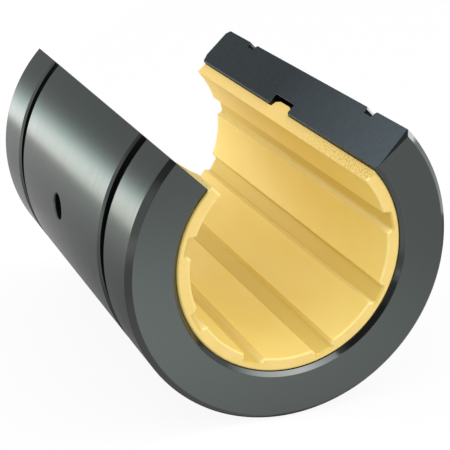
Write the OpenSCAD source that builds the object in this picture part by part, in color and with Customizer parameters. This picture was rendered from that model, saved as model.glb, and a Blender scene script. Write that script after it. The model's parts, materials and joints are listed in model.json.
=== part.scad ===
// Open sliding bush: a turned aluminium sleeve that holds a grooved polymer liner.
// The bush lies on its back with its opening up, and Y runs along the bore.
// The origin is on the bore's axis at the sleeve's mid-length. The front end faces -Y.

/* [Main sizes] */
// Diameter of the bore that the shaft slides in
bore_d = 16; // [14:0.5:18]
// Outside diameter of the sleeve
sleeve_d = 26; // [25:0.5:32]
// Length of the sleeve
sleeve_length = 36; // [32:0.5:45]
// Angle that the opening takes out of the sleeve
opening_angle = 92.5; // [60:0.5:110]

/* [Liner] */
// Wall of the liner at its lands
liner_wall = 1; // [0.8:0.05:1.4]
// Radial gap between the liner and the sleeve's bore
liner_gap = 0.08; // [0.04:0.01:0.15]
// How far each end of the liner lies inside the sleeve when it is centred
end_recess = 0.4; // [0.3:0.05:1.5]
// Angle by which the liner's right edge sits back from the sleeve's cut face
edge_set_back = 1.6; // [0.5:0.1:3]
// Bevel on the liner's outer rims
liner_rim = 0.12; // [0.05:0.01:0.25]
// Lead-in on the rims of the liner's bore
liner_lead_in = 0.12; // [0.05:0.01:0.25]
// Greatest height of the lip that stands proud of the left cut face
lip_height = 0.4; // [0.2:0.05:0.6]
// Length of that lip, from the liner's front end
lip_length = 7.4; // [4:0.2:12]

/* [Liner grooves] */
// Number of grooves along the liner's bore
groove_count = 6; // [3:1:7]
// Angle from the liner's cut edge to the middle of its first groove
end_groove_angle = 29.2; // [22:0.1:36]
// Width of a groove at the bore
groove_mouth_w = 1.75; // [1.2:0.05:2.4]
// Width of a groove at its floor
groove_floor_w = 1.45; // [0.8:0.05:1.7]
// Depth of a groove
groove_depth = 0.5; // [0.3:0.05:0.6]
// Size of the blend between a groove's floor and its walls
groove_blend = 0.14; // [0.05:0.01:0.25]

/* [Retaining rib and its groove] */
// Width of the groove inside the sleeve that keeps the liner's rib
keep_groove_w = 3.7; // [2.5:0.1:6]
// Depth of that groove
keep_groove_depth = 1; // [0.7:0.05:1.5]
// Bevel on the edges of that groove
keep_groove_edge = 0.2; // [0.15:0.01:0.3]
// Room on each side of the rib when it is centred
rib_play = 0.13; // [0.05:0.01:0.3]
// Room above the rib
rib_top_gap = 0.3; // [0.15:0.05:0.5]
// Distance from each foot of the rib to the flat on its top
rib_flank = 0.8; // [0.3:0.05:1]

/* [Sleeve ends and edges] */
// Chamfer on the sleeve's outer rims
rim_chamfer = 0.45; // [0.2:0.05:0.8]
// Chamfer on the front rim of the sleeve's bore
front_chamfer = 0.35; // [0.2:0.05:0.6]
// Radial size of the lead-in on the back rim of that bore
back_lead_r = 0.8; // [0.4:0.05:1.2]
// Axial size of that lead-in
back_lead_y = 0.45; // [0.3:0.05:0.8]
// Broken edge along the bore on both cut faces
edge_break = 0.12; // [0.05:0.01:0.14]
// Length of the filed corner on the right cut face, at the outer rim
filed_length = 0.5; // [0.2:0.02:0.6]
// Depth of that filed corner, at the outer rim
filed_depth = 0.18; // [0.04:0.01:0.3]

/* [Retaining ring grooves] */
// Distance across the outer walls of the two ring grooves
ring_span = 24.9; // [20:0.1:27]
// Width of a ring groove
ring_groove_w = 1.3; // [1:0.1:1.8]
// Depth of a ring groove
ring_groove_depth = 0.55; // [0.3:0.05:0.8]
// Bevel on the edges of a ring groove
ring_groove_edge = 0.2; // [0.05:0.05:0.25]

/* [Locating hole] */
// Diameter of the radial hole in the sleeve
hole_d = 2.2; // [1.5:0.1:3.5]
// Angle from the middle of the opening to the hole
hole_angle = 90; // [75:1:120]

/* [Hidden] */
$fn = 160;

bore_r = bore_d / 2;
liner_r = bore_r + liner_wall;
seat_r = liner_r + liner_gap;
keep_r = seat_r + keep_groove_depth;
sleeve_r = sleeve_d / 2;
half_length = sleeve_length / 2;
ring_groove_y = (ring_span - ring_groove_w) / 2;

// The liner has slid forward until its rib almost meets the front wall of its groove.
rib_front_gap = 0.03;
liner_shift = rib_front_gap - rib_play;
liner_front = end_recess - half_length + liner_shift;
liner_back = half_length - end_recess + liner_shift;
rib_half_w = keep_groove_w / 2 - rib_play;
rib_h = keep_r - rib_top_gap - liner_r;

// Angles are measured up from the horizontal, on both sides of the opening.
cut_angle = 90 - opening_angle / 2;
liner_right_angle = cut_angle - edge_set_back;
liner_span = 360 - opening_angle - edge_set_back;
groove_pitch = (liner_span - 2 * end_groove_angle) / (groove_count - 1);

// The lip is sawn from stock that reaches a little past its greatest height.
lip_stock_angle = asin(1.5 * lip_height / bore_r);
// Cutting tools reach this far past the piece that they cut.
past = 1;

// Section of the sleeve's wall, as distance from the axis and place along it
sleeve_section = concat(
    [[seat_r + front_chamfer, -half_length], [sleeve_r - rim_chamfer, -half_length],
     [sleeve_r, rim_chamfer - half_length]],
    ring_groove_section(-ring_groove_y),
    ring_groove_section(ring_groove_y),
    [[sleeve_r, half_length - rim_chamfer], [sleeve_r - rim_chamfer, half_length],
     [seat_r + back_lead_r, half_length], [seat_r, half_length - back_lead_y],
     [seat_r, keep_groove_w / 2 + keep_groove_edge],
     [seat_r + keep_groove_edge, keep_groove_w / 2],
     [keep_r, keep_groove_w / 2], [keep_r, -keep_groove_w / 2],
     [seat_r + keep_groove_edge, -keep_groove_w / 2],
     [seat_r, -keep_groove_w / 2 - keep_groove_edge],
     [seat_r, front_chamfer - half_length]]
);

// Section of the liner's wall at a land, with the rib outside
liner_section = [
    [bore_r + liner_lead_in, liner_front], [liner_r - liner_rim, liner_front],
    [liner_r, liner_front + liner_rim],
    [liner_r, liner_shift - rib_half_w],
    [liner_r + 0.64 * rib_h, liner_shift - rib_half_w + 0.2 * rib_flank],
    [liner_r + rib_h, liner_shift - rib_half_w + rib_flank],
    [liner_r + rib_h, liner_shift + rib_half_w - rib_flank],
    [liner_r + 0.64 * rib_h, liner_shift + rib_half_w - 0.2 * rib_flank],
    [liner_r, liner_shift + rib_half_w],
    [liner_r, liner_back - liner_rim],
    [liner_r - liner_rim, liner_back], [bore_r + liner_lead_in, liner_back],
    [bore_r, liner_back - liner_lead_in], [bore_r, liner_front + liner_lead_in]
];

// Section of one liner groove, as distance from the axis and distance across
groove_section = [
    [bore_r - past, -groove_mouth_w / 2], [bore_r, -groove_mouth_w / 2],
    [bore_r + groove_depth - groove_blend, -groove_floor_w / 2],
    [bore_r + groove_depth, groove_blend - groove_floor_w / 2],
    [bore_r + groove_depth, groove_floor_w / 2 - groove_blend],
    [bore_r + groove_depth - groove_blend, groove_floor_w / 2],
    [bore_r, groove_mouth_w / 2], [bore_r - past, groove_mouth_w / 2]
];

// Outline of what the saw takes off the liner's left edge, along the bore and up from the cut
lip_relief = [
    [liner_front - past, 0.8 * lip_height],
    [liner_front, 0.8 * lip_height],
    [liner_front + 0.4 * lip_length, lip_height],
    [liner_front + 0.6 * lip_length, 0.5 * lip_height],
    [liner_front + lip_length, 0],
    [liner_back + past, 0],
    [liner_back + past, liner_r],
    [liner_front - past, liner_r]
];

function ring_groove_section(middle) = [
    [sleeve_r, middle - ring_groove_w / 2 - ring_groove_edge],
    [sleeve_r - ring_groove_edge, middle - ring_groove_w / 2],
    [sleeve_r - ring_groove_depth, middle - ring_groove_w / 2],
    [sleeve_r - ring_groove_depth, middle + ring_groove_w / 2],
    [sleeve_r - ring_groove_edge, middle + ring_groove_w / 2],
    [sleeve_r, middle + ring_groove_w / 2 + ring_groove_edge]
];

// Turns a section round the bore's axis, from its right edge under the bore to its left edge.
module turned(section, right_angle, span) {
    rotate([-90, 0, 0])
        rotate([0, 0, -right_angle])
            rotate_extrude(angle = span)
                polygon(section);
}

// On the right cut face: X runs out from the axis, Y along the bore and Z into the opening.
module on_right_cut() {
    rotate([0, -cut_angle, 0]) children();
}

module on_left_cut() {
    mirror([1, 0, 0]) on_right_cut() children();
}

// Breaks the sharp edge between a cut face and the sleeve's bore with a bevel at 45 degrees.
module bore_edge_break() {
    translate([seat_r + edge_break, 0, 0])
        rotate([0, -45, 0])
            translate([-past, -half_length - past, 0])
                cube([2 * past, sleeve_length + 2 * past, past]);
}

// Files the front corner of a cut face, from nothing at the bore's rim to full size outside.
module filed_corner() {
    inner_r = seat_r + front_chamfer;
    rise = atan(filed_length / (sleeve_r - inner_r));
    fall = atan(filed_depth / filed_length);
    translate([inner_r, -half_length, 0])
        rotate([0, 0, rise])
            rotate([fall, 0, 0])
                translate([-past, -2 * past, 0])
                    cube([sleeve_r, 2 * past, past]);
}

module radial_hole() {
    rotate([0, -hole_angle, 0])
        cylinder(d = hole_d, h = sleeve_r + past);
}

module liner_groove() {
    rotate([90, 0, 0])
        linear_extrude(height = sleeve_length + 2 * past, center = true)
            polygon(groove_section);
}

module aluminium_sleeve() {
    color([0.33, 0.36, 0.36])
        difference() {
            turned(sleeve_section, cut_angle, 360 - opening_angle);
            radial_hole();
            on_right_cut() bore_edge_break();
            on_left_cut() bore_edge_break();
            on_right_cut() filed_corner();
        }
}

module polymer_liner() {
    color([0.88, 0.74, 0.4])
        difference() {
            turned(liner_section, liner_right_angle, liner_span + lip_stock_angle);
            for (i = [0:groove_count - 1])
                rotate([0, end_groove_angle + i * groove_pitch - liner_right_angle, 0])
                    liner_groove();
            on_left_cut()
                rotate([90, 0, 90])
                    linear_extrude(height = sleeve_r)
                        polygon(lip_relief);
        }
}

aluminium_sleeve();
polymer_liner();
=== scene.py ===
# %% [markdown]
# # An open sliding bush
#
# The object is an open plain bush. A turned and anodised aluminium sleeve holds a moulded yellow
# liner, and the liner slides on a round shaft. One side of both is sawn away, so that the web
# that carries the shaft can pass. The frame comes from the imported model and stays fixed: it gives
# the sizes, and everything below is made to fit it.

# %% Load the fixed frame
import json
import math

import bmesh
import bpy
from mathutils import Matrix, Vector


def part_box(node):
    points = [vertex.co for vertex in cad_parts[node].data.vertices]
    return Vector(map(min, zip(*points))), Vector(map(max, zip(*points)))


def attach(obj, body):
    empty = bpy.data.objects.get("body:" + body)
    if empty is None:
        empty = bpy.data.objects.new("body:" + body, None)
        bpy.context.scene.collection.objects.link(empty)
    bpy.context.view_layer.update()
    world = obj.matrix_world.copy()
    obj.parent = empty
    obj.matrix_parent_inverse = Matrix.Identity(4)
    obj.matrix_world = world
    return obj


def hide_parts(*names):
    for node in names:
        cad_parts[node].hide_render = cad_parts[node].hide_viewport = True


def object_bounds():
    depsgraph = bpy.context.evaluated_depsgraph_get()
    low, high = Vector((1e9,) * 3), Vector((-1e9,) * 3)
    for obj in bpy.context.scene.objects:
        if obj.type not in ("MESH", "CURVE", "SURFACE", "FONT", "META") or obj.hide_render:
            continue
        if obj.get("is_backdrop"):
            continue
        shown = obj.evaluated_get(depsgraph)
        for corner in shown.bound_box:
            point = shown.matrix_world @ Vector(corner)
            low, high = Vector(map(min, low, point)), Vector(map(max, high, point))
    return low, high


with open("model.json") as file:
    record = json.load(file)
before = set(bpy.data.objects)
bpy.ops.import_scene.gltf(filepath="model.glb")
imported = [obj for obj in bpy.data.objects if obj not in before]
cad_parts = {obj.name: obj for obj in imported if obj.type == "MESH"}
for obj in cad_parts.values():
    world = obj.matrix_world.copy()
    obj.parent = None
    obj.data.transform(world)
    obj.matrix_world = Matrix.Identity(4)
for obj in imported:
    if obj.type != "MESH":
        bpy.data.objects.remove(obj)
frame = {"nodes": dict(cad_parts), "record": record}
cad_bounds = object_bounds()
MM = 0.001
print("nodes in the frame:", sorted(frame["nodes"]))

# %% [markdown]
# ## Driving sizes
#
# The outer sizes are read from the frame, so that they can't drift from it. The sleeve's rim at
# its cut face is its highest point, and that height gives the angle of the cut. The smaller sizes
# are those that a maker would put on the drawing, in millimetres. Only the liner's outside is drawn
# nearer to its seat than in the plain solid, because the real liner springs out against the sleeve.

# %% Sizes
sleeve_low, sleeve_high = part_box("aluminium_sleeve")
liner_low, liner_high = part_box("polymer_liner")
mounts = {mount["name"]: mount for mount in frame["record"]["mounts"]}

SLEEVE_R = sleeve_high.x / MM
HALF_LENGTH = sleeve_high.y / MM
CUT_ANGLE = math.asin(sleeve_high.z / sleeve_high.x)
SLEEVE_TURN = math.radians(180) + 2 * CUT_ANGLE
BORE_R = mounts["shaft_bore"]["dims"]["r_mm"]
LINER_FRONT, LINER_BACK = liner_low.y / MM, liner_high.y / MM

LINER_WALL = 1.0
LINER_GAP = 0.08
SEAT_R = BORE_R + LINER_WALL + LINER_GAP
SPRUNG_GAP = 0.03
LINER_R = SEAT_R - SPRUNG_GAP
print(f"sleeve {2 * SLEEVE_R:.1f} x {2 * HALF_LENGTH:.1f} mm")
print(f"cut faces {math.degrees(CUT_ANGLE):.2f} degrees above the horizontal")
print(f"liner from {LINER_FRONT:.2f} to {LINER_BACK:.2f} mm, bore {2 * BORE_R:.1f} mm")

# %% [markdown]
# ## Drawing an outline
#
# Both pieces start as a flat outline. By hand, one point is extruded again and again with E, and F
# fills the loop. The helper does the same: a small plane is merged into one point, the point is
# moved to the start, and each stretch is an extrusion. A stretch can also be an arc, which is a
# spin of the last point round the bore's axis.

# %% Helpers for drawing
AXIS = (0, 1, 0)


def around(radius, along, angle):
    """A place at this radius and angle round the bore's axis, in metres."""
    return Vector((radius * math.cos(angle), along, radius * math.sin(angle))) * MM


def start_point(name, place):
    """Opens a new mesh in edit mode with a single point in it."""
    bpy.ops.object.select_all(action="DESELECT")
    bpy.ops.mesh.primitive_plane_add(size=MM, location=(0, 0, 0))
    bpy.context.object.name = name
    bpy.ops.object.mode_set(mode="EDIT")
    bpy.ops.mesh.select_mode(type="VERT")
    bpy.ops.mesh.select_all(action="SELECT")
    bpy.ops.mesh.merge(type="CENTER")
    bpy.ops.transform.translate(value=place)
    return bpy.context.object


def draw_to(here, there):
    bpy.ops.mesh.extrude_vertices_move(TRANSFORM_OT_translate={"value": there - here})
    return there


def close_outline():
    bpy.ops.mesh.select_all(action="SELECT")
    bpy.ops.mesh.edge_face_add()
    bpy.ops.mesh.select_all(action="SELECT")


def leave_edit(piece):
    """Turns all faces outwards and goes back to object mode."""
    bpy.ops.mesh.select_all(action="SELECT")
    bpy.ops.mesh.normals_make_consistent(inside=False)
    bpy.ops.object.mode_set(mode="OBJECT")
    size = [f"{length / MM:.2f}" for length in piece.dimensions]
    print(f"{piece.name}: {len(piece.data.polygons)} faces, {' x '.join(size)} mm")


# %% [markdown]
# ## The sleeve's wall
#
# On the lathe the sleeve gets its shape from one section that runs all the way round: chamfered
# rims, two grooves for retaining rings outside, and a wide groove inside that keeps the liner. So
# the section is drawn once, on the plane of the right cut face, and spun under the bore to the
# left cut face. That gives true turned surfaces, which a box cut with booleans would not.

# %% Section of the sleeve
RIM_CHAMFER = 0.45
FRONT_CHAMFER = 0.35
BACK_LEAD_R, BACK_LEAD_Y = 0.8, 0.45
KEEP_W, KEEP_DEPTH, KEEP_EDGE = 3.7, 1.0, 0.2
RING_SPAN, RING_W, RING_DEPTH, RING_EDGE = 24.9, 1.3, 0.55, 0.2
RING_Y = (RING_SPAN - RING_W) / 2


def ring_groove(middle):
    half = RING_W / 2
    return [(SLEEVE_R, middle - half - RING_EDGE), (SLEEVE_R - RING_EDGE, middle - half),
            (SLEEVE_R - RING_DEPTH, middle - half), (SLEEVE_R - RING_DEPTH, middle + half),
            (SLEEVE_R - RING_EDGE, middle + half), (SLEEVE_R, middle + half + RING_EDGE)]


sleeve_section = [
    (SEAT_R + FRONT_CHAMFER, -HALF_LENGTH), (SLEEVE_R - RIM_CHAMFER, -HALF_LENGTH),
    (SLEEVE_R, RIM_CHAMFER - HALF_LENGTH), *ring_groove(-RING_Y), *ring_groove(RING_Y),
    (SLEEVE_R, HALF_LENGTH - RIM_CHAMFER), (SLEEVE_R - RIM_CHAMFER, HALF_LENGTH),
    (SEAT_R + BACK_LEAD_R, HALF_LENGTH), (SEAT_R, HALF_LENGTH - BACK_LEAD_Y),
    (SEAT_R, KEEP_W / 2 + KEEP_EDGE), (SEAT_R + KEEP_EDGE, KEEP_W / 2),
    (SEAT_R + KEEP_DEPTH, KEEP_W / 2), (SEAT_R + KEEP_DEPTH, -KEEP_W / 2),
    (SEAT_R + KEEP_EDGE, -KEEP_W / 2), (SEAT_R, -KEEP_W / 2 - KEEP_EDGE),
    (SEAT_R, FRONT_CHAMFER - HALF_LENGTH)]
print("the sleeve's section has", len(sleeve_section), "corners")

# %% Draw and spin it
STEP = math.radians(1.25)

corners = [around(radius, along, CUT_ANGLE) for radius, along in sleeve_section]
sleeve = start_point("turned_sleeve", corners[0])
for here, there in zip(corners, corners[1:]):
    draw_to(here, there)
close_outline()
bpy.ops.mesh.spin(steps=round(SLEEVE_TURN / STEP), angle=-SLEEVE_TURN, center=(0, 0, 0), axis=AXIS)
leave_edit(sleeve)

# %% [markdown]
# ## Broken edges
#
# The saw leaves a sharp edge where a cut face meets the bore. On the real sleeve it is broken by a
# narrow bevel. The edges are found by their place: they lie on the seat's radius, in a cut face,
# and run along the bore.

# %% Break the bore's edges
EDGE_BREAK = 0.12
TOLERANCE = 0.01


def radius_of(place):
    return math.hypot(place.x, place.z) / MM


def cut_height(place):
    """How far a place lies above the plane of its cut face. The two planes mirror each other."""
    return (place.z * math.cos(CUT_ANGLE) - abs(place.x) * math.sin(CUT_ANGLE)) / MM


def in_cut_face(place):
    return place.z > 0 and abs(cut_height(place)) < TOLERANCE


def select_edges(piece, test):
    """Selects each edge that the test accepts, and says how many there are."""
    bpy.ops.object.mode_set(mode="EDIT")
    bpy.ops.mesh.select_mode(type="EDGE")
    bpy.ops.mesh.select_all(action="DESELECT")
    mesh = bmesh.from_edit_mesh(piece.data)
    chosen = [edge for edge in mesh.edges if test(*(vertex.co for vertex in edge.verts))]
    for edge in chosen:
        edge.select_set(True)
    bmesh.update_edit_mesh(piece.data)
    return len(chosen)


def on_broken_edge(*ends):
    return all(in_cut_face(end) and abs(radius_of(end) - SEAT_R) < TOLERANCE for end in ends)


count = select_edges(sleeve, on_broken_edge)
bpy.ops.mesh.bevel(offset=EDGE_BREAK * MM, offset_type="OFFSET", segments=1)
leave_edit(sleeve)
print("edges broken:", count)

# %% [markdown]
# ## Soft corners
#
# No machined edge is perfectly sharp. A Bevel modifier rounds every corner by a few hundredths of
# a millimetre, and that small round catches the light and draws the bright line along each edge.
# The angle limit keeps it off the fine steps of the spun wall. It is applied before the hole and
# the filed corner are cut, because slivers beside a cut would clamp it.

# %% Round the sleeve's corners
CORNER_ROUND = 0.03
LEAST_CORNER = math.radians(30)


def apply_modifier(piece, kind, **settings):
    bpy.ops.object.select_all(action="DESELECT")
    piece.select_set(True)
    bpy.context.view_layer.objects.active = piece
    modifier = piece.modifiers.new(kind.lower(), kind)
    for name, value in settings.items():
        setattr(modifier, name, value)
    bpy.ops.object.modifier_apply(modifier=modifier.name)


def round_corners(piece, width):
    apply_modifier(piece, "BEVEL", width=width * MM, segments=2, limit_method="ANGLE",
                   angle_limit=LEAST_CORNER, use_clamp_overlap=True)
    print(f"{piece.name}: {len(piece.data.polygons)} faces after rounding")


round_corners(sleeve, CORNER_ROUND)

# %% [markdown]
# ## The hole and the filed corner
#
# A small radial hole takes the tip of a locating screw. It is drilled with a cutter that is a
# cylinder with a cone on top, so that the hole gets its deburred mouth in the same cut. The front
# corner of the right cut face was dressed with a file: a thin wedge is missing there, deepest at
# the outer rim. A flat cutter takes it off.

# %% Drill the hole
HOLE_R = mounts["locating_hole"]["dims"]["r_mm"]
HOLE_MOUTH = 0.12
CUTTER_PAST = 1.0
HOLE_SIDES = 64


def cut_away(piece, cutter):
    """Takes the cutter's shape out of the piece and deletes the cutter."""
    apply_modifier(piece, "BOOLEAN", operation="DIFFERENCE", solver="EXACT", object=cutter)
    bpy.data.objects.remove(cutter)


bpy.ops.object.select_all(action="DESELECT")
bpy.ops.mesh.primitive_cylinder_add(
    vertices=HOLE_SIDES, radius=HOLE_R * MM, depth=(SLEEVE_R + CUTTER_PAST) * MM,
    location=(-(SLEEVE_R + CUTTER_PAST) / 2 * MM, 0, 0), rotation=(0, math.radians(-90), 0))
drill = bpy.context.object
bpy.ops.object.mode_set(mode="EDIT")
bpy.ops.mesh.select_mode(type="FACE")
bpy.ops.mesh.select_all(action="DESELECT")
drill_mesh = bmesh.from_edit_mesh(drill.data)
drill_mesh.faces.ensure_lookup_table()
max(drill_mesh.faces, key=lambda face: face.calc_center_median().z).select_set(True)
bmesh.update_edit_mesh(drill.data)
bpy.ops.transform.translate(value=((CUTTER_PAST + HOLE_MOUTH) * MM, 0, 0))
bpy.ops.mesh.extrude_region_move(
    TRANSFORM_OT_translate={"value": (-(CUTTER_PAST + HOLE_MOUTH) * MM, 0, 0)})
mouth_scale = (HOLE_R + HOLE_MOUTH + CUTTER_PAST) / HOLE_R
bpy.ops.transform.resize(value=(1, mouth_scale, mouth_scale))
bpy.ops.object.mode_set(mode="OBJECT")
cut_away(sleeve, drill)
print(f"hole of {2 * HOLE_R:.1f} mm drilled: {len(sleeve.data.polygons)} faces")

# %% File the front corner
FILED_LENGTH, FILED_DEPTH = 0.5, 0.18
inner_r = SEAT_R + FRONT_CHAMFER
rise = math.atan(FILED_LENGTH / (SLEEVE_R - inner_r))
fall = math.atan(FILED_DEPTH / FILED_LENGTH)

bpy.ops.object.select_all(action="DESELECT")
bpy.ops.mesh.primitive_cube_add(size=1, location=(0, 0, 0))
file_block = bpy.context.object
bpy.ops.object.mode_set(mode="EDIT")
bpy.ops.transform.resize(value=(SLEEVE_R * MM, 2 * CUTTER_PAST * MM, CUTTER_PAST * MM))
bpy.ops.transform.translate(
    value=((SLEEVE_R / 2 - CUTTER_PAST) * MM, -CUTTER_PAST * MM, CUTTER_PAST / 2 * MM))
bpy.ops.object.mode_set(mode="OBJECT")
file_block.rotation_mode = "XYZ"
file_block.rotation_euler = (fall, 0, rise)
file_block.location = (inner_r * MM, -HALF_LENGTH * MM, 0)
bpy.context.view_layer.update()
bpy.ops.object.transform_apply(location=True, rotation=True, scale=True)
file_block.rotation_euler = (0, -CUT_ANGLE, 0)
bpy.context.view_layer.update()
bpy.ops.object.transform_apply(location=True, rotation=True, scale=True)
cut_away(sleeve, file_block)
print(f"corner filed: {len(sleeve.data.polygons)} faces")

# %% [markdown]
# ## The liner's section
#
# The liner is moulded with six grooves along its bore, which take up dirt and let the wall give.
# Seen from the front its section is an arc with six notches, the same all along, so this outline
# is drawn in the other direction: the last point is spun along a land, extruded down a groove's
# wall, across its floor and up again, six times over, and then spun back along the outside. A
# floor's width is given where the walls would meet it if its corners weren't rounded.

# %% Draw the liner
GROOVE_COUNT = 6
END_GROOVE = math.radians(29.2)
EDGE_SET_BACK = math.radians(1.6)
GROOVE_MOUTH, GROOVE_FLOOR, GROOVE_DEPTH = 1.75, 1.38, 0.5
LINER_START = CUT_ANGLE - EDGE_SET_BACK
LINER_TURN = SLEEVE_TURN - EDGE_SET_BACK
PITCH = (LINER_TURN - 2 * END_GROOVE) / (GROOVE_COUNT - 1)
MOUTH_HALF = math.asin(GROOVE_MOUTH / 2 / BORE_R)


def spin_point(turn):
    """Draws an arc round the bore's axis, downwards from where the last point is."""
    steps = max(2, round(abs(turn) / STEP))
    bpy.ops.mesh.spin(steps=steps, angle=-turn, center=(0, 0, 0), axis=AXIS)


def groove_corner(middle, half_w, radius):
    """A corner of a groove: half_w to one side of its middle line, at this depth."""
    out = Vector((math.cos(middle), 0, math.sin(middle)))
    down = Vector((math.sin(middle), 0, -math.cos(middle)))
    return (out * radius + down * half_w + Vector((0, LINER_FRONT, 0))) * MM


liner = start_point("moulded_liner", around(BORE_R, LINER_FRONT, LINER_START))
mouth_depth = math.sqrt(BORE_R ** 2 - (GROOVE_MOUTH / 2) ** 2)
turned = 0.0
for i in range(GROOVE_COUNT):
    middle_turn = END_GROOVE + i * PITCH
    spin_point(middle_turn - MOUTH_HALF - turned)
    middle = LINER_START - middle_turn
    here = groove_corner(middle, -GROOVE_MOUTH / 2, mouth_depth)
    here = draw_to(here, groove_corner(middle, -GROOVE_FLOOR / 2, BORE_R + GROOVE_DEPTH))
    here = draw_to(here, groove_corner(middle, GROOVE_FLOOR / 2, BORE_R + GROOVE_DEPTH))
    here = draw_to(here, groove_corner(middle, GROOVE_MOUTH / 2, mouth_depth))
    turned = middle_turn + MOUTH_HALF
spin_point(LINER_TURN - turned)
LINER_END = LINER_START - LINER_TURN
draw_to(around(BORE_R, LINER_FRONT, LINER_END), around(LINER_R, LINER_FRONT, LINER_END))
spin_point(-LINER_TURN)
close_outline()
print("section drawn with", len(bmesh.from_edit_mesh(liner.data).verts), "points")

# %% [markdown]
# ## Length, rib and lip
#
# The section is extruded along the bore in steps, and each step leaves a ring of points where the
# shape changes. The rings in the middle are then scaled outwards: that is the rib, which sits in
# the sleeve's inner groove and keeps the liner from sliding out. At the front of the left edge the
# saw left a small lip, which is raised from the points of its own rings. Its outline is a list of
# places, as shares of its length, with shares of its height.

# %% Extrude the liner
RIB_FRONT_GAP, RIB_PLAY = 0.03, 0.13
SHIFT = RIB_FRONT_GAP - RIB_PLAY
RIB_HALF = KEEP_W / 2 - RIB_PLAY
RIB_TOP_GAP = 0.3
RIB_H = SEAT_R + KEEP_DEPTH - RIB_TOP_GAP - LINER_R
RIB_FLANK = 0.8
SHOULDER_PLACE, SHOULDER_H = 0.2 * RIB_FLANK, 0.64 * RIB_H
rib_rings = {SHIFT - RIB_HALF: 0.0, SHIFT - RIB_HALF + SHOULDER_PLACE: SHOULDER_H,
             SHIFT - RIB_HALF + RIB_FLANK: RIB_H, SHIFT + RIB_HALF - RIB_FLANK: RIB_H,
             SHIFT + RIB_HALF - SHOULDER_PLACE: SHOULDER_H, SHIFT + RIB_HALF: 0.0}

LIP_H, LIP_LENGTH = 0.4, 7.4
LIP_OUTLINE = ((0.0, 0.8), (0.4, 1.0), (0.6, 0.5), (1.0, 0.0))
lip_rings = {LINER_FRONT + along * LIP_LENGTH: share * LIP_H for along, share in LIP_OUTLINE}

rings = sorted([*rib_rings, *lip_rings, LINER_BACK])
for before, after in zip(rings, rings[1:]):
    bpy.ops.mesh.extrude_region_move(
        TRANSFORM_OT_translate={"value": (0, (after - before) * MM, 0)})
print("rings along the liner:", [round(ring, 2) for ring in rings])


# %% Scale the rib out and raise the lip
def select_points(piece, test):
    bpy.ops.mesh.select_mode(type="VERT")
    bpy.ops.mesh.select_all(action="DESELECT")
    mesh = bmesh.from_edit_mesh(piece.data)
    chosen = [vertex for vertex in mesh.verts if test(vertex.co)]
    for vertex in chosen:
        vertex.select_set(True)
    bmesh.update_edit_mesh(piece.data)
    return len(chosen)


for ring, height in rib_rings.items():
    if height:
        count = select_points(liner, lambda place: abs(place.y / MM - ring) < TOLERANCE
                              and abs(radius_of(place) - LINER_R) < TOLERANCE)
        grow = (LINER_R + height) / LINER_R
        bpy.ops.transform.resize(value=(grow, 1, grow), center_override=(0, 0, 0))
        print(f"rib ring at {ring:.2f} mm: {count} points raised by {height:.2f} mm")

into_opening = Vector((math.sin(CUT_ANGLE), 0, math.cos(CUT_ANGLE)))
for ring, height in lip_rings.items():
    if height:
        count = select_points(liner, lambda place: abs(place.y / MM - ring) < TOLERANCE
                              and in_cut_face(place) and place.x < 0)
        bpy.ops.transform.translate(value=into_opening * height * MM)
        print(f"lip ring at {ring:.2f} mm: {count} points raised by {height:.2f} mm")
leave_edit(liner)

# %% [markdown]
# ## Moulded edges
#
# A mould has soft corners at the bottom of each groove, and its rims carry a small chamfer that
# helps the liner into its seat. The floor's corners get a round of three segments. The rims are
# bevelled in one pass, since every edge of an end face lies at one place along the bore.

# %% Round the grooves and chamfer the rims
FLOOR_ROUND = 0.14
RIM_BREAK = 0.12
floor_corner_r = math.hypot(BORE_R + GROOVE_DEPTH, GROOVE_FLOOR / 2)


def on_floor_corner(a, b):
    along = abs(a.x - b.x) + abs(a.z - b.z) < TOLERANCE * MM
    return along and abs(radius_of(a) - floor_corner_r) < TOLERANCE


def on_end_rim(a, b):
    return any(max(abs(a.y / MM - end), abs(b.y / MM - end)) < TOLERANCE
               for end in (LINER_FRONT, LINER_BACK))


count = select_edges(liner, on_floor_corner)
bpy.ops.mesh.bevel(offset=FLOOR_ROUND * MM, offset_type="OFFSET", segments=3)
leave_edit(liner)
print("groove corners rounded:", count)
count = select_edges(liner, on_end_rim)
bpy.ops.mesh.bevel(offset=RIM_BREAK * MM, offset_type="OFFSET", segments=1)
leave_edit(liner)
print("rim edges chamfered:", count)

# %% Round the liner's corners
LINER_ROUND = 0.035
round_corners(liner, LINER_ROUND)

# %% [markdown]
# ## Shading the faces
#
# A turned surface should look round and a sawn one flat. Smooth shading with an angle limit does
# the first. On its own it would also bend the light across the large flat faces, because their
# corners are averaged with the small rounds beside them. The Weighted Normal modifier lets the
# large faces decide, so that the flats stay flat and only the rounds turn. It compares areas in
# the mesh's own unit, in which all faces of so small a piece look alike. So the piece is enlarged a
# thousand times for this step and then brought back to its own size.

# %% Smooth by angle, weighted by area
SMOOTH_ANGLE = math.radians(35)
LARGE_FACES = 75
SAME_AREA = 0.01


def enlarge(piece, factor):
    piece.scale = (factor, factor, factor)
    bpy.context.view_layer.update()
    bpy.ops.object.transform_apply(location=False, rotation=False, scale=True)


for piece in (sleeve, liner):
    bpy.ops.object.select_all(action="DESELECT")
    piece.select_set(True)
    bpy.context.view_layer.objects.active = piece
    bpy.ops.object.shade_smooth_by_angle(angle=SMOOTH_ANGLE)
    enlarge(piece, 1 / MM)
    apply_modifier(piece, "WEIGHTED_NORMAL", weight=LARGE_FACES, thresh=SAME_AREA, keep_sharp=True)
    enlarge(piece, MM)
    print(f"{piece.name}: shaded, {len(piece.data.polygons)} faces")

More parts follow.
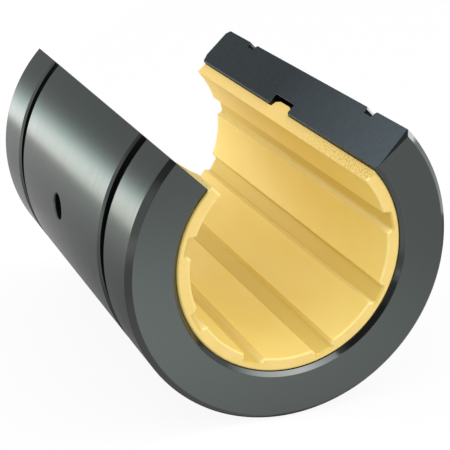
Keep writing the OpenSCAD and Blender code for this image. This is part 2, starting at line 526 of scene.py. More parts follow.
# %% [markdown]
# ## Helpers for the finishes
#
# Each finish is a Principled shader, and its detail comes from noise on Object coordinates, so it
# stays on the piece from every side. On the real sleeve the marks of the tool run round the
# axis, so the helper turns a place into its distance from the axis and its place along it:
# noise on those two is the same all the way round, as a turned surface is.

# %% Finish helpers
def new_finish(name, colour, metallic, roughness):
    """A material with one Principled shader, set up with these constants, and its node tree."""
    material = bpy.data.materials.new(name)
    material.use_nodes = True
    tree = material.node_tree
    shader = tree.nodes["Principled BSDF"]
    shader.inputs["Base Color"].default_value = (*colour, 1)
    shader.inputs["Metallic"].default_value = metallic
    shader.inputs["Roughness"].default_value = roughness
    return material, tree, shader


def math_node(tree, operation, first, second):
    """One sum on two inputs, each of which is a socket or a number."""
    node = tree.nodes.new("ShaderNodeMath")
    node.operation = operation
    for socket, value in zip(node.inputs, (first, second)):
        if isinstance(value, (int, float)):
            socket.default_value = value
        else:
            tree.links.new(value, socket)
    return node.outputs["Value"]


def axes_of(tree):
    """The place of a point on the piece in metres, as one socket and as three."""
    place = tree.nodes.new("ShaderNodeTexCoord")
    split = tree.nodes.new("ShaderNodeSeparateXYZ")
    tree.links.new(place.outputs["Object"], split.inputs["Vector"])
    return place.outputs["Object"], split.outputs


def turned_place(tree):
    """Distance from the axis and place along it, the same all the way round."""
    _, axes = axes_of(tree)
    across = math_node(tree, "MULTIPLY", axes["X"], axes["X"])
    up = math_node(tree, "MULTIPLY", axes["Z"], axes["Z"])
    radius = math_node(tree, "SQRT", math_node(tree, "ADD", across, up), 0.0)
    place = tree.nodes.new("ShaderNodeCombineXYZ")
    tree.links.new(radius, place.inputs["X"])
    tree.links.new(axes["Y"], place.inputs["Y"])
    return place.outputs["Vector"]


print("new_finish, math_node, axes_of and turned_place are ready")


# %% Helpers for noise, colour and bump
def grain(tree, place, size_mm, detail, stretch=(1, 1, 1)):
    """Noise whose patches are about this many millimetres across, with finer ones by the detail."""
    mapping = tree.nodes.new("ShaderNodeMapping")
    mapping.inputs["Scale"].default_value = stretch
    tree.links.new(place, mapping.inputs["Vector"])
    noise = tree.nodes.new("ShaderNodeTexNoise")
    noise.inputs["Scale"].default_value = 1 / (size_mm * MM)
    noise.inputs["Detail"].default_value = detail
    tree.links.new(mapping.outputs["Vector"], noise.inputs["Vector"])
    return noise.outputs["Fac"]


def spread(tree, value, low, high, start=0.3, stop=0.7):
    """Spreads the value's middle range over low to high."""
    node = tree.nodes.new("ShaderNodeMapRange")
    node.inputs["From Min"].default_value = start
    node.inputs["From Max"].default_value = stop
    node.inputs["To Min"].default_value = low
    node.inputs["To Max"].default_value = high
    tree.links.new(value, node.inputs["Value"])
    return node.outputs["Result"]


def tint(tree, factor, first, second):
    """A colour between two, which are each a colour or a socket."""
    mix = tree.nodes.new("ShaderNodeMix")
    mix.data_type = "RGBA"
    tree.links.new(factor, mix.inputs["Factor"])
    for socket, colour in ((mix.inputs[6], first), (mix.inputs[7], second)):
        if isinstance(colour, tuple):
            socket.default_value = (*colour, 1)
        else:
            tree.links.new(colour, socket)
    return mix.outputs[2]


def relief(tree, shader, height, depth_mm):
    """Raises the height as bump, this many millimetres from low to high."""
    bump = tree.nodes.new("ShaderNodeBump")
    bump.inputs["Strength"].default_value = 1.0
    bump.inputs["Distance"].default_value = depth_mm * MM
    tree.links.new(height, bump.inputs["Height"])
    tree.links.new(bump.outputs["Normal"], shader.inputs["Normal"])


print("grain, spread, tint and relief are ready")

# %% [markdown]
# ## Turned and anodised aluminium
#
# The sleeve was turned, and then anodised and dyed a dark grey. The oxide layer is thin, so the
# grey drifts a little towards green and violet from place to place. It could be a dark plastic
# with gloss, but the photo's soft bright band is the mark of a metal, so the shader is metallic
# with a dark base. At a flat angle the oxide mirrors less than bare metal does, and Specular Tint
# takes that down. The tool left fine rings, which show as slight streaks in the gloss. The rim of
# the bore is painted paler on the left: painted light, for the light that it mirrors there.

# %% Finish: turned and anodised
EDGE_MIRROR = 0.62
MOTTLE = 0.35
# Where the bore rim's painted light fades in along x, in mm.
RIM_LIGHT_FROM, RIM_LIGHT_TO = -7.9, -7.3


def anodised_turned(name, green, violet, middle, rough=(0.18, 0.25), painted_light_tint=None):
    """The turned metal: three tints that drift, streaks of gloss, and maybe painted light on the
    left.
    """
    material, tree, shader = new_finish(name, middle, metallic=1.0, roughness=sum(rough) / 2)
    shader.inputs["Specular Tint"].default_value = (EDGE_MIRROR, EDGE_MIRROR, EDGE_MIRROR, 1)
    place, axes = axes_of(tree)
    rings = turned_place(tree)
    drift = spread(tree, grain(tree, place, size_mm=14.0, detail=3.0), 0.0, 1.0)
    cloud = spread(tree, grain(tree, place, size_mm=5.0, detail=4.0), 0.0, 1.0)
    drifted = tint(tree, drift, green, violet)
    clouded = tint(tree, cloud, drifted, middle)
    fine = spread(tree, grain(tree, place, size_mm=0.7, detail=3.0), 0.0, MOTTLE)
    colour = tint(tree, fine, clouded, violet)
    # Painted light: the left side of the bore rim is tinted paler.
    if painted_light_tint:
        light_on_left = spread(tree, axes["X"], 1.0, 0.0, RIM_LIGHT_FROM * MM, RIM_LIGHT_TO * MM)
        colour = tint(tree, light_on_left, colour, painted_light_tint)
    tree.links.new(colour, shader.inputs["Base Color"])
    streaks = grain(tree, rings, size_mm=0.35, detail=3.0)
    tree.links.new(spread(tree, streaks, *rough), shader.inputs["Roughness"])
    relief(tree, shader, streaks, depth_mm=0.0006)
    return material


anodised = anodised_turned("anodised_turned", green=(0.079, 0.103, 0.093),
                           violet=(0.090, 0.093, 0.091), middle=(0.087, 0.096, 0.091))
faced = anodised_turned("anodised_faced", green=(0.098, 0.114, 0.107), violet=(0.100, 0.112, 0.106),
                        middle=(0.100, 0.113, 0.107))
rim_look = {"green": (0.062, 0.070, 0.066), "violet": (0.066, 0.068, 0.068),
            "middle": (0.065, 0.069, 0.066), "rough": (0.07, 0.13)}
chamfered = anodised_turned("anodised_chamfered", **rim_look)
# The bore rim's paler left side is painted light.
bore_rim = anodised_turned("anodised_bore_rim_painted_light", **rim_look, painted_light_tint=(0.135, 0.150, 0.190))
print("finishes made:", anodised.name, faced.name, chamfered.name, bore_rim.name)

# %% [markdown]
# ## Plunged grooves and the drilled hole
#
# The ring grooves were cut with a narrow tool that plunges straight in, and it leaves a rougher
# wall than turning does. Their dark is painted shade: the grooves and the hole get a finish of
# their own, nearly black and matt, for the shade of a deep slot.

# %% Finish: painted shade in the grooves and the hole
# Painted shade: the near-black greys of the ring grooves and the hole.
RECESS_SHADE_GREY = (0.020, 0.022, 0.022)
RECESS_SHADE_DARK, RECESS_SHADE_PALE = (0.016, 0.018, 0.018), (0.026, 0.028, 0.028)
PLUNGED_ROUGH = (0.42, 0.6)


def anodised_recess_shade():
    """Painted shade for grooves and hole: nearly black and matt, with the rings of a tool that
    shook.
    """
    material, tree, shader = new_finish(
        "anodised_recess_shade", RECESS_SHADE_GREY, metallic=1.0, roughness=0.5)
    rings = turned_place(tree)
    chatter = grain(tree, rings, size_mm=0.12, detail=3.0)
    tree.links.new(spread(tree, chatter, *PLUNGED_ROUGH), shader.inputs["Roughness"])
    tree.links.new(tint(tree, chatter, RECESS_SHADE_DARK, RECESS_SHADE_PALE), shader.inputs["Base Color"])
    relief(tree, shader, chatter, depth_mm=0.002)
    return material


painted_recess_shade = anodised_recess_shade()
print("finish made:", painted_recess_shade.name)

# %% [markdown]
# ## The sawn faces of the opening
#
# A slitting saw went along the sleeve before it was dyed. Its face is flat but not smooth: fine
# scratches run across the wall where the teeth passed, and the dye looks bluer on them. The noise
# is stretched along those scratches, and a second, finer one gives the grain between them. From
# the middle to the front the face is painted lighter, as painted light for what it mirrors there.

# %% Finish: sawn metal
SAWN_GREY = (0.084, 0.096, 0.108)
# Shaded greys at the back and lit greys at the front: painted light along the face.
SHADED_BACK_DARK, SHADED_BACK_PALE = (0.040, 0.048, 0.052), (0.052, 0.061, 0.066)
LIT_FRONT_DARK, LIT_FRONT_PALE = (0.099, 0.121, 0.135), (0.121, 0.144, 0.158)
FRONT_LIGHT_UNTIL = HALF_LENGTH / 6
SCRATCH_SHARE, SPECKLE_SHARE = 0.5, 0.5
SAWN_ROUGH = (0.2, 0.3)


def anodised_sawn():
    """The sawn metal: bluish grey with scratches across, and painted light towards the front."""
    material, tree, shader = new_finish("anodised_sawn", SAWN_GREY, metallic=1.0, roughness=0.28)
    shader.inputs["Specular Tint"].default_value = (EDGE_MIRROR, EDGE_MIRROR, EDGE_MIRROR, 1)
    place, axes = axes_of(tree)
    scratches = grain(tree, place, size_mm=0.45, detail=4.0, stretch=(0.6, 1.5, 0.6))
    speckle = grain(tree, place, size_mm=0.14, detail=2.0)
    both = math_node(tree, "ADD", math_node(tree, "MULTIPLY", scratches, SCRATCH_SHARE),
                     math_node(tree, "MULTIPLY", speckle, SPECKLE_SHARE))
    patchy = spread(tree, both, 0.0, 1.0, start=0.35, stop=0.65)
    back = tint(tree, patchy, SHADED_BACK_DARK, SHADED_BACK_PALE)
    front = tint(tree, patchy, LIT_FRONT_DARK, LIT_FRONT_PALE)
    # Painted light: the face grows lighter from the middle to the front.
    painted_front_light = spread(tree, axes["Y"], 1.0, 0.0, start=-HALF_LENGTH * MM, stop=FRONT_LIGHT_UNTIL * MM)
    tree.links.new(tint(tree, painted_front_light, back, front), shader.inputs["Base Color"])
    tree.links.new(spread(tree, scratches, *SAWN_ROUGH), shader.inputs["Roughness"])
    relief(tree, shader, both, depth_mm=0.002)
    return material


sawn = anodised_sawn()
print("finish made:", sawn.name)

# %% [markdown]
# ## The filed corner
#
# The wedge at the front corner was taken off with a file, and it faces away from the light. File
# strokes run across it as faint streaks, and its near-black colour is painted shade. A face so
# rough mirrors little at a flat angle.

# %% Finish: filed metal in painted shade
FILED_MIRROR = 0.15
# Painted shade: the filed wedge's near-black greys.
FILED_SHADE_GREY = (0.022, 0.024, 0.024)
FILED_SHADE_DARK, FILED_SHADE_PALE = (0.016, 0.018, 0.018), (0.030, 0.032, 0.032)
FILED_ROUGH = (0.3, 0.45)


def anodised_filed_shade():
    """The filed metal in painted shade: nearly black, with the strokes of the file across it."""
    material, tree, shader = new_finish("anodised_filed_shade", FILED_SHADE_GREY, metallic=1.0, roughness=0.35)
    shader.inputs["Specular Tint"].default_value = (FILED_MIRROR, FILED_MIRROR, FILED_MIRROR, 1)
    place, _ = axes_of(tree)
    strokes = grain(tree, place, size_mm=0.3, detail=3.0, stretch=(0.2, 1.5, 0.2))
    tree.links.new(tint(tree, strokes, FILED_SHADE_DARK, FILED_SHADE_PALE), shader.inputs["Base Color"])
    tree.links.new(spread(tree, strokes, *FILED_ROUGH), shader.inputs["Roughness"])
    relief(tree, shader, strokes, depth_mm=0.003)
    return material


filed = anodised_filed_shade()
print("finish made:", filed.name)

# %% [markdown]
# ## The moulded liner
#
# The liner is an unpainted bearing plastic, filled with solid lubricant. It is matt, and its
# yellow drifts a little with the flow of the melt, in soft patches as wide as a land. A faint
# orange peel breaks up the gloss. The grooves' floors are painted darker, as painted shade, and
# their walls paler, as painted light. A point's distance from the axis tells which of these it is
# on.

# %% Finish: moulded liner
PLASTIC_GLOSS = 0.15
WALL_FADE_START, WALL_FADE_END = 0.03, 0.10
OUTSIDE_FADE = 0.1
MOULDED_ROUGH = (0.4, 0.52)
# Painted light on the grooves' walls and painted shade on their floors.
WALL_PAINTED_LIGHT = (0.86, 0.71, 0.29)
FLOOR_PAINTED_SHADE = (0.675, 0.505, 0.130)


def liner_moulded(name, pale, rich):
    """The moulded plastic: drifting yellow, painted shade on groove floors, painted light on walls.
    """
    material, tree, shader = new_finish(name, pale, metallic=0.0, roughness=0.45)
    shader.inputs["Specular IOR Level"].default_value = PLASTIC_GLOSS
    place, _ = axes_of(tree)
    rings = turned_place(tree)
    split = tree.nodes.new("ShaderNodeSeparateXYZ")
    tree.links.new(rings, split.inputs["Vector"])
    radius = split.outputs["X"]
    flow = grain(tree, place, size_mm=4.0, detail=6.0, stretch=(1, 0.6, 1))
    flowed = tint(tree, spread(tree, flow, 0.0, 1.0), rich, pale)
    on_wall = spread(tree, radius, 0.0, 1.0, start=(BORE_R + WALL_FADE_START) * MM,
                     stop=(BORE_R + WALL_FADE_END) * MM)
    on_floor = spread(tree, radius, 0.0, 1.0, start=(BORE_R + GROOVE_DEPTH - FLOOR_ROUND) * MM,
                      stop=(BORE_R + GROOVE_DEPTH) * MM)
    outside = spread(tree, radius, 0.0, 1.0, start=(LINER_R - RIM_BREAK - OUTSIDE_FADE) * MM,
                     stop=(LINER_R - RIM_BREAK) * MM)
    wall_lit = tint(tree, on_wall, flowed, WALL_PAINTED_LIGHT)
    floor_shaded = tint(tree, on_floor, wall_lit, FLOOR_PAINTED_SHADE)
    tree.links.new(tint(tree, outside, floor_shaded, flowed), shader.inputs["Base Color"])
    peel = grain(tree, place, size_mm=0.25, detail=3.0)
    tree.links.new(spread(tree, peel, *MOULDED_ROUGH), shader.inputs["Roughness"])
    relief(tree, shader, peel, depth_mm=0.0002)
    return material


moulded = liner_moulded("liner_moulded", pale=(0.84, 0.66, 0.215), rich=(0.81, 0.62, 0.175))
print("finish made:", moulded.name)

# %% [markdown]
# ## The liner's sawn edge
#
# The liner was slit with a saw as well. Plastic tears a little where metal shears, so the edge is
# pale and has small dark pits towards the front, where the saw went in. The low spots of a noise
# make both the colour and the bump, and they fade along the piece. The lip is painted paler still:
# painted light, standing in for light that shines through so thin a piece.

# %% Finish: sawn liner
def liner_sawn(name, pale, dark):
    """The sawn plastic: pale, with darker torn pits at the front."""
    material, tree, shader = new_finish(name, pale, metallic=0.0, roughness=0.55)
    shader.inputs["Specular IOR Level"].default_value = PLASTIC_GLOSS
    place, axes = axes_of(tree)
    specks = grain(tree, place, size_mm=0.15, detail=2.0)
    near_front = spread(tree, axes["Y"], 1.0, 0.0, start=-HALF_LENGTH * MM, stop=0.0)
    pits = spread(tree, specks, 1.0, 0.0, start=0.4, stop=0.5)
    torn = math_node(tree, "MULTIPLY", pits, near_front)
    whole = math_node(tree, "SUBTRACT", 1.0, torn)
    tree.links.new(tint(tree, torn, pale, dark), shader.inputs["Base Color"])
    relief(tree, shader, whole, depth_mm=0.016)
    return material


torn_edge = liner_sawn("liner_sawn", pale=(0.877, 0.64, 0.21), dark=(0.57, 0.385, 0.06))
# The lip's paler yellow is painted light.
lip_painted_light = liner_sawn("liner_lip_painted_light", pale=(0.98, 0.75, 0.30), dark=(0.90, 0.66, 0.22))
print("finishes made:", torn_edge.name, "and", lip_painted_light.name)

# %% [markdown]
# ## The liner's flat ends
#
# The two ends are the same plastic, trimmed flat after moulding. The cut took the polished skin
# off, so they are a little warmer and more even than the lands. The drift of the melt shows only as
# soft patches, so one even yellow with a little noise is enough.

# %% Finish: trimmed liner end
END_YELLOW = (0.84, 0.62, 0.21)
END_DARK, END_PALE = (0.82, 0.60, 0.195), (0.86, 0.635, 0.225)


def liner_end():
    """The trimmed plastic: one even yellow with faint patches."""
    material, tree, shader = new_finish("liner_end", END_YELLOW, metallic=0.0, roughness=0.5)
    shader.inputs["Specular IOR Level"].default_value = PLASTIC_GLOSS
    place, _ = axes_of(tree)
    flow = spread(tree, grain(tree, place, size_mm=1.5, detail=3.0), 0.0, 1.0)
    tree.links.new(tint(tree, flow, END_DARK, END_PALE), shader.inputs["Base Color"])
    relief(tree, shader, flow, depth_mm=0.001)
    return material


trimmed_end = liner_end()
print("finish made:", trimmed_end.name)

# %% [markdown]
# ## Giving each face its finish
#
# One piece can hold several finishes. A face is picked by its place and its direction, just as
# by hand in edit mode: a face of the opening lies in a cut plane and looks across it, a groove's
# faces lie below the sleeve's outside. How far a face leans is read from its normal: its share
# along a direction is 1 when the face looks straight that way and 0 when it lies along it. The
# faces that no test picks keep the first finish.

# %% Tests for the sleeve's faces
STRAIGHT = 0.98
NEARLY_STRAIGHT = 0.85
LEAST_LEAN, MOST_LEAN = 0.25, 0.95
CUT_NORMAL = Vector((-math.sin(CUT_ANGLE), 0, math.cos(CUT_ANGLE)))


def faces_opening(face):
    """Whether a face lies in a cut plane of the opening and looks into the opening."""
    side = 1 if face.center.x > 0 else -1
    across = Vector((CUT_NORMAL.x * side, 0, CUT_NORMAL.z))
    return in_cut_face(face.center) and face.normal.dot(across) > STRAIGHT


def in_ring_groove(face):
    off_middle = abs(abs(face.center.y / MM) - RING_Y)
    depth = SLEEVE_R - radius_of(face.center)
    return off_middle < RING_W / 2 + TOLERANCE and RING_EDGE < depth < RING_DEPTH + TOLERANCE


def in_hole(face):
    off_axis = math.hypot(face.center.y, face.center.z) / MM
    return face.center.x < 0 and off_axis < HOLE_R + TOLERANCE


def is_filed(face):
    """Whether a face is the filed wedge, which leans forward a little from the right cut face."""
    at_corner = face.center.y / MM < FILED_LENGTH - HALF_LENGTH and face.center.x > 0
    beside_cut = face.normal.dot(CUT_NORMAL) > NEARLY_STRAIGHT
    return at_corner and beside_cut and face.normal.y < -LEAST_LEAN


def on_end_face(face):
    return abs(abs(face.center.y / MM) - HALF_LENGTH) < TOLERANCE


def on_broken_face(face):
    """Whether a face is on the narrow bevel, or its rounds, along the inside of a cut face."""
    reach = EDGE_BREAK + CORNER_ROUND + TOLERANCE
    beside_cut = face.center.z > 0 and cut_height(face.center) > -reach
    near_bore = radius_of(face.center) < SEAT_R + reach
    return beside_cut and near_bore and abs(face.normal.y) < LEAST_LEAN


def on_chamfer(face):
    """Whether a face is on a chamfer of the sleeve's two ends, inside or outside."""
    at_end = HALF_LENGTH - abs(face.center.y / MM) < RIM_CHAMFER + CORNER_ROUND
    return at_end and LEAST_LEAN < abs(face.normal.y) < MOST_LEAN


def on_bore_rim(face):
    return on_chamfer(face) and radius_of(face.center) < SEAT_R + BACK_LEAD_R


print("the right cut face looks towards", [round(part, 3) for part in CUT_NORMAL])

# %% Tests for the liner's faces
EDGE_NORMAL = Vector((-math.sin(LINER_START), 0, math.cos(LINER_START)))


def in_lip(face):
    """Whether a face belongs to the lip, which stands above the left cut face."""
    return face.center.x < 0 < face.center.z and cut_height(face.center) > TOLERANCE


def is_liner_edge(face):
    """Whether a face is one of the liner's two sawn edges, or the top of the lip."""
    if face.center.x > 0:
        in_edge = abs(face.center.dot(EDGE_NORMAL)) < TOLERANCE * MM
        return in_edge and face.normal.dot(EDGE_NORMAL) > STRAIGHT
    tops_lip = in_lip(face) and face.normal.dot(into_opening) > NEARLY_STRAIGHT
    return in_cut_face(face.center) or tops_lip


def is_liner_end(face):
    return abs(face.normal.y) > STRAIGHT and radius_of(face.center) < LINER_R


print("the liner's right edge looks towards", [round(part, 3) for part in EDGE_NORMAL])


# %% Assign the finishes
def give_finishes(piece, first, others):
    """Adds the first finish to all faces and each other one to the faces that its test picks."""
    piece.data.materials.append(first)
    for index, (material, test) in enumerate(others, start=1):
        piece.data.materials.append(material)
        chosen = [face for face in piece.data.polygons if test(face)]
        for face in chosen:
            face.material_index = index
        print(f"{piece.name}: {len(chosen)} faces are {material.name}")


# Painted shade on the grooves, hole and filed wedge; painted light on the bore rim's left side.
give_finishes(sleeve, anodised, [
    (painted_recess_shade, lambda face: in_ring_groove(face) or in_hole(face)), (faced, on_end_face),
    (chamfered, on_chamfer), (bore_rim, on_bore_rim),
    (sawn, lambda face: faces_opening(face) or on_broken_face(face)), (filed, is_filed)])
# On the liner, the lip's paler finish is painted light.
give_finishes(liner, moulded, [
    (lip_painted_light, in_lip), (torn_edge, is_liner_edge), (trimmed_end, is_liner_end)])

# %% [markdown]
# ## Fitting into the frame
#
# Neither piece moves by itself, so both ride on the one body, root. Each takes the place of its
# plain solid, which stays hidden.

# %% Fit the pieces to the frame
for piece, node, slot in ((sleeve, "aluminium_sleeve", "anodised_sleeve"),
                          (liner, "polymer_liner", "liner_polymer")):
    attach(piece, "root")
    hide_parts(node)
    print(f"{piece.name} rides on root and replaces {node}")

# %% [markdown]
# ## Floor
#
# The bush lies on a white table that runs out of sight. The floor is matt and pale, and it takes
# the shadow. The camera sees it as plain white with a part of that shadow. What the metal mirrors
# of it is painted, since the photo's table isn't even: just in front of the bush it is light, and
# fades outwards. Behind the bush it is in shade, and grows lighter towards the far left.

# %% Floor
FLOOR_SIZE = 6
FLOOR_GREY = (0.85, 0.85, 0.85)
WHITE_SHARE_CAMERA = 0.92
WHITE_SHARE_METAL = 0.8
POOL_PLACE = (-6, -40)
POOL_FADE = (8, 34)
POOL_GLOW = (1.4, 0.7)
POOL_EDGE, POOL_EDGE_SLOPE = -17.8, 0.1
BEHIND_FADE = (12, 85)
BEHIND_GLOW = (0.32, 1.5)
BEHIND_SLOPE = 0.7


def ray_kinds(tree):
    """Two sockets: 1 for rays from the camera, and 1 for rays that metal or glass sends on."""
    path = tree.nodes.new("ShaderNodeLightPath")
    sent_on = math_node(tree, "MAXIMUM", path.outputs["Is Glossy Ray"],
                        path.outputs["Is Transmission Ray"])
    return path.outputs["Is Camera Ray"], sent_on


def floor_material():
    material, tree, shader = new_finish("pale_floor", FLOOR_GREY, metallic=0.0, roughness=0.9)
    shader.inputs["Specular IOR Level"].default_value = 0.0
    camera_ray, sent_on = ray_kinds(tree)
    share = math_node(tree, "MAXIMUM",
                      math_node(tree, "MULTIPLY", camera_ray, WHITE_SHARE_CAMERA),
                      math_node(tree, "MULTIPLY", sent_on, WHITE_SHARE_METAL))
    _, axes = axes_of(tree)
    aside = math_node(tree, "SUBTRACT", axes["X"], POOL_PLACE[0] * MM)
    ahead = math_node(tree, "SUBTRACT", axes["Y"], POOL_PLACE[1] * MM)
    squares = math_node(tree, "ADD", math_node(tree, "MULTIPLY", aside, aside),
                        math_node(tree, "MULTIPLY", ahead, ahead))
    off_pool = math_node(tree, "SQRT", squares, 0.0)
    pool = spread(tree, off_pool, *POOL_GLOW, POOL_FADE[0] * MM, POOL_FADE[1] * MM)
    past_edge = math_node(tree, "ADD", axes["Y"],
                          math_node(tree, "MULTIPLY", axes["X"], POOL_EDGE_SLOPE))
    in_front = math_node(tree, "LESS_THAN", past_edge, POOL_EDGE * MM)
    out_left = math_node(tree, "SUBTRACT",
                         math_node(tree, "MULTIPLY", axes["Y"], BEHIND_SLOPE), axes["X"])
    behind = spread(tree, out_left, *BEHIND_GLOW, BEHIND_FADE[0] * MM, BEHIND_FADE[1] * MM)
    lit = math_node(tree, "MAXIMUM", behind,
                    math_node(tree, "MULTIPLY", pool, in_front))
    white = tree.nodes.new("ShaderNodeEmission")
    tree.links.new(math_node(tree, "MAXIMUM", camera_ray, lit), white.inputs["Strength"])
    mix = tree.nodes.new("ShaderNodeMixShader")
    tree.links.new(share, mix.inputs["Fac"])
    tree.links.new(shader.outputs["BSDF"], mix.inputs[1])
    tree.links.new(white.outputs["Emission"], mix.inputs[2])
    tree.links.new(mix.outputs["Shader"], tree.nodes["Material Output"].inputs["Surface"])
    return material


bpy.ops.object.select_all(action="DESELECT")
bpy.ops.mesh.primitive_plane_add(size=FLOOR_SIZE, location=(0, 0, sleeve_low.z))
floor = bpy.context.object
floor.name = "floor"
floor.data.materials.append(floor_material())
floor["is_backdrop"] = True
print(f"floor at {sleeve_low.z / MM:.2f} mm, where the sleeve touches it")

# %% [markdown]
# ## World
#
# The background is white for the camera and in reflections. The light that it sheds on the bush is
# three quarters as strong, so that the pale plastic doesn't clip.

# %% World
AMBIENT = 0.745

world = bpy.data.worlds.new("studio")
bpy.context.scene.world = world
world.use_nodes = True
tree = world.node_tree
camera_ray, sent_on = ray_kinds(tree)
seen = math_node(tree, "MAXIMUM", camera_ray, sent_on)
background = tree.nodes["Background"]
background.inputs["Color"].default_value = (1, 1, 1, 1)
strength = spread(tree, seen, AMBIENT, 1.0, start=0.0, stop=1.0)
tree.links.new(strength, background.inputs["Strength"])
bpy.context.scene.view_settings.view_transform = "Standard"
print("ambient light:", AMBIENT)

# %% [markdown]
# ## Soft lamps
#
# The key is a large softbox in front of the bush, above and to the right. It makes the bore's
# shading and throws the faint shadow to the left. A fill from the upper left opens the dark of the
# bore, and a tiny one close behind the far end makes the last stretch of the bore glow. The two
# fills light the plastic only, because their mirror images would spoil the dark metal.

# %% Lamps
def softbox(name, toward, distance, size, radiance, in_metal=True):
    """A square soft lamp in this direction from the bush, turned to face it."""
    direction = Vector(toward).normalized()
    data = bpy.data.lights.new(name, "AREA")
    data.shape = "SQUARE"
    data.size = size
    data.energy = radiance * math.pi * size ** 2
    lamp = bpy.data.objects.new(name, data)
    lamp.location = direction * distance
    lamp.rotation_euler = direction.to_track_quat("Z", "Y").to_euler()
    lamp.visible_camera = False
    lamp.visible_glossy = in_metal
    bpy.context.scene.collection.objects.link(lamp)
    print(f"{name}: {data.energy:.1f} W")


softbox("key_softbox", toward=(0.40, -0.465, 0.787), distance=0.5, size=0.5, radiance=1.5)
softbox("bore_fill", toward=(-0.55, -0.35, 0.76), distance=0.5, size=0.4, radiance=1.4,
        in_metal=False)
softbox("end_fill", toward=(-0.18, 1.0, -0.12), distance=0.035, size=0.016, radiance=3.3,
        in_metal=False)

# %% [markdown]
# ## Cards for the metal
#
# A shiny cylinder shows what stands round it, so a photographer places cards. Only shiny surfaces
# see them, and each is painted with bands by the place up it:
#
# - The band card stands behind and to the left. Its glowing foot is the bright band along the
#   sleeve, a little yellow below and green above, and its upper part is what the cut face mirrors.
# - The side card is dark. It stands at the left front and blackens the right of the inner chamfer.
# - The rim shade, nearer by, does the same to the outer chamfer beside the left cut face.
# - The rim card is small and stands close on the right. It draws the light line along the right
#   rim, and its bright top the glint beside the cut face.
# - The arc card stands high at the right front and makes the bright arc under the bore.

# %% Card helper
def card(name, middle_mm, size_mm, steps, across=0.0, tints=((0, (1, 1, 1)),)):
    """An upright card that faces the bush, with steps and tints by the place up it in mm."""
    middle = Vector(middle_mm) * MM
    facing = Vector((middle.x, middle.y, 0)).to_track_quat("Z", "Y")
    bpy.ops.object.select_all(action="DESELECT")
    bpy.ops.mesh.primitive_plane_add(size=1, location=(0, 0, 0))
    piece = bpy.context.object
    piece.name = name
    piece.scale = (size_mm[0] * MM, size_mm[1] * MM, 1)
    bpy.ops.object.transform_apply(location=False, rotation=False, scale=True)
    piece.rotation_euler = facing.to_euler()
    piece.location = middle
    material, tree, shader = new_finish(name, (0, 0, 0), metallic=0.0, roughness=1.0)
    tree.nodes.remove(shader)
    _, axes = axes_of(tree)
    place = math_node(tree, "ADD", axes["Y"],
                      math_node(tree, "MULTIPLY", axes["X"], across))
    strength = math_node(tree, "ADD", steps[0][1], 0.0)
    for (start, before), (stop, after) in zip(steps, steps[1:]):
        change = spread(tree, place, 0.0, after - before, start * MM, stop * MM)
        strength = math_node(tree, "ADD", strength, change)
    glow = tree.nodes.new("ShaderNodeEmission")
    tree.links.new(strength, glow.inputs["Strength"])
    colour = tints[0][1]
    for (start, _), (stop, after) in zip(tints, tints[1:]):
        change = spread(tree, place, 0.0, 1.0, start * MM, stop * MM)
        colour = tint(tree, change, colour, after)
        tree.links.new(colour, glow.inputs["Color"])
    tree.links.new(glow.outputs["Emission"], tree.nodes["Material Output"].inputs["Surface"])
    piece.data.materials.append(material)
    for ray in ("visible_camera", "visible_diffuse", "visible_transmission", "visible_shadow"):
        setattr(piece, ray, False)
    piece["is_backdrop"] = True
    print(f"{name}: {size_mm[0]} x {size_mm[1]} mm, {len(steps)} steps")


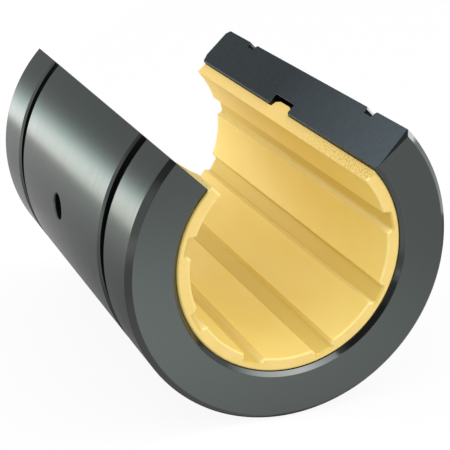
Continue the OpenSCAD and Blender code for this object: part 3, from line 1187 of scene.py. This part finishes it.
# %% Place the cards
FLOOR_Z = sleeve_low.z / MM
BAND_W, BAND_H, BAND_LEAN = 250, 190, -0.45
band_middle = FLOOR_Z + BAND_H / 2
band_steps = [(height - BAND_H / 2, glow) for height, glow in (
    (-6, 4.8), (4, 6.2), (12, 6.2), (19, 3.6), (26, 1.6), (33, 0.92), (44, 0.8))]
band_tints = [(height - BAND_H / 2, colour) for height, colour in (
    (-4, (1.0, 0.97, 0.88)), (8, (1.0, 1.0, 1.0)),
    (21, (0.86, 1.0, 0.96)), (38, (0.97, 1.0, 1.02)))]
card("band_card", middle_mm=(-56.5, 117, band_middle), size_mm=(BAND_W, BAND_H), steps=band_steps,
     across=BAND_LEAN, tints=band_tints)
card("side_card", middle_mm=(-106.2, -157.5, 129), size_mm=(123, 242),
     steps=[(-79, 0.3), (-61, 0.16), (58, 0.16), (94, 0.45)])
card("rim_shade", middle_mm=(-129, -77, 105), size_mm=(49, 98),
     steps=[(-49, 0.95), (-24, 0.28), (49, 0.24)])
card("rim_card", middle_mm=(58, -3, 5.5), size_mm=(20, 37),
     steps=[(-18, 2.4), (8.3, 2.4), (9.3, 9.0)])
card("arc_card", middle_mm=(96.5, -167.1, 280), size_mm=(387, 360),
     steps=[(-180, 1.0), (-146, 2.0), (-103, 4.6), (-41, 6.2), (-8, 6.8), (33, 4.2), (76, 2.6)])

# %% [markdown]
# ## Camera
#
# The place, the turn and the lens were fitted to the photo's outlines: the front face's two
# circles, the ring grooves and the edges of the cut face. The camera looks down by 20.5 degrees,
# from a little to the left, and it stands close enough for the far end to look clearly smaller.

# %% Camera
STANDS_AT = (-41.312, -107.382, 39.707)
LOOKS_DOWN, LOOKS_RIGHT = 20.549, 21.863
LENS, SENSOR = 114.61, 36
NEAREST_SEEN = 0.01

camera_data = bpy.data.cameras.new("camera")
camera_data.lens = LENS
camera_data.sensor_width = SENSOR
camera_data.clip_start = NEAREST_SEEN
camera = bpy.data.objects.new("camera", camera_data)
camera.location = Vector(STANDS_AT) * MM
camera.rotation_euler = (math.radians(90 - LOOKS_DOWN), 0, math.radians(-LOOKS_RIGHT))
bpy.context.scene.collection.objects.link(camera)
bpy.context.scene.camera = camera
print(f"camera {camera.location.length / MM:.0f} mm from the bush's middle")

# %% [markdown]
# ## Sizes
#
# The visual pieces must fill the same space as the plain solids that they replace. Both boxes are
# printed, so that they can be compared.

# %% Print the sizes
visual_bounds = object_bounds()
for name, bounds in (("plain solids", cad_bounds), ("visual pieces", visual_bounds)):
    print(name, [[round(part / MM, 2) for part in corner] for corner in bounds])
